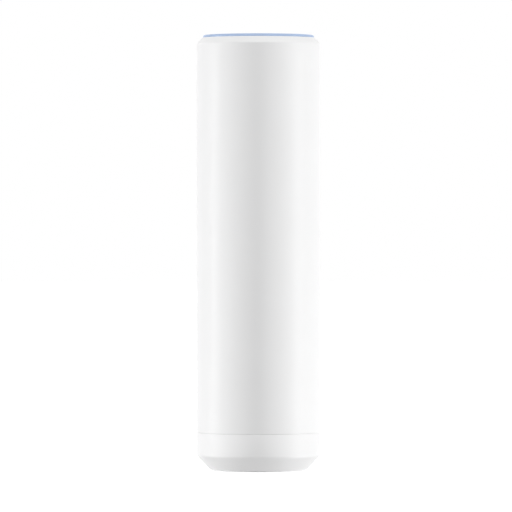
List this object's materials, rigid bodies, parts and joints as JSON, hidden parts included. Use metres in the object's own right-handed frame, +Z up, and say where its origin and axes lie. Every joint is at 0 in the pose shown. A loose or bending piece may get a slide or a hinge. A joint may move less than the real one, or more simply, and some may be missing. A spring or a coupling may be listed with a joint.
{
  "type": "mesh wifi node",
  "caption": "Tall round white mesh wifi node with a lit ring round the top edge, a chamfered twist-off base and a downward network jack inside it.",
  "frame": {"origin": "centre of the foot's underside, on the surface the node stands on", "axes": "+Z up along the housing, +Y to the rear where the cable leaves the base, +X to the right seen from the front"},
  "size_m": [0.0464, 0.0464, 0.164],
  "materials": {
    "housing_white": "satin white",
    "cap_white": "satin white",
    "base_white": "satin white",
    "ring_diffuser": "translucent, lit a pale cool blue",
    "inner_plastic": "moulded, matt",
    "sleeve_black": "moulded, matt",
    "circuit_board": "solder mask",
    "emitter": "lens over phosphor",
    "flex_amber": "amber film",
    "chip_black": "moulded epoxy",
    "shield_metal": "tin plated",
    "heatsink_metal": "extruded, bare",
    "thermal_pad": "soft",
    "screw_steel": "zinc plated",
    "contact_gold": "gold plated",
    "antenna_metal": "stamped, tinned",
    "coil_tape": "wound and taped",
    "capacitor_sleeve": "shrink sleeve",
    "ferrite_grey": "pressed powder",
    "rubber_dark": "matt",
    "rubber_pale": "matt",
    "button_grey": "matt",
    "coax_black": "thin coaxial lead"
  },
  "bodies": {
    "base": {"base": "base_white", "foot_ring": "rubber_pale", "cable_grommet": "rubber_pale"},
    "seal": {"base_seal": "rubber_dark"},
    "unit": {"housing": "housing_white", "top_cap": "cap_white", "light_ring": "ring_diffuser", "led_board": "circuit_board", "led_emitters": "emitter", "led_board_screws": "screw_steel", "led_flex": "flex_amber", "chassis": "inner_plastic", "main_board": "circuit_board", "board_screws": "screw_steel", "processor": "chip_black", "memory_chips": "chip_black", "shield_processor": "shield_metal", "shield_2g": "shield_metal", "shield_5g": "shield_metal", "thermal_pad": "thermal_pad", "heatsink": "heatsink_metal", "heatsink_screws": "screw_steel", "ethernet_jack": "shield_metal", "jack_contacts": "contact_gold", "jack_gasket": "rubber_dark", "lan_magnetics": "chip_black", "poe_transformer": "coil_tape", "capacitors": "capacitor_sleeve", "inductors": "ferrite_grey", "reset_switch": "chip_black", "port_plate": "inner_plastic", "plate_screws": "screw_steel", "thread_collar": "inner_plastic", "antenna_sleeve": "sleeve_black", "antenna_5g_1": "antenna_metal", "antenna_5g_2": "antenna_metal", "antenna_5g_3": "antenna_metal", "antenna_5g_4": "antenna_metal", "antenna_2g_1": "antenna_metal", "antenna_2g_2": "antenna_metal", "coax_leads": "coax_black", "coax_sockets": "contact_gold"},
    "reset_button": {"reset_button": "button_grey"}
  },
  "joints": [
    {"name": "unit_lift", "type": "slide", "parent": "base", "child": "seal", "axis": [0, 0, 1], "range_m": [0, 0.024]},
    {"name": "unit_turn", "type": "hinge", "parent": "seal", "child": "unit", "pos_m": [0, 0, 0], "axis": [0, 0, 1], "range_deg": [0, 240]},
    {"name": "reset_press", "type": "slide", "parent": "unit", "child": "reset_button", "axis": [0, 0, 1], "range_m": [0, 0.0008], "stiffness_N_per_m": 2000, "springref_m": -0.0002}
  ],
  "couplings": [
    {"joint": "unit_lift", "follows": "unit_turn", "m_per_rad": 0.0057295}
  ]
}
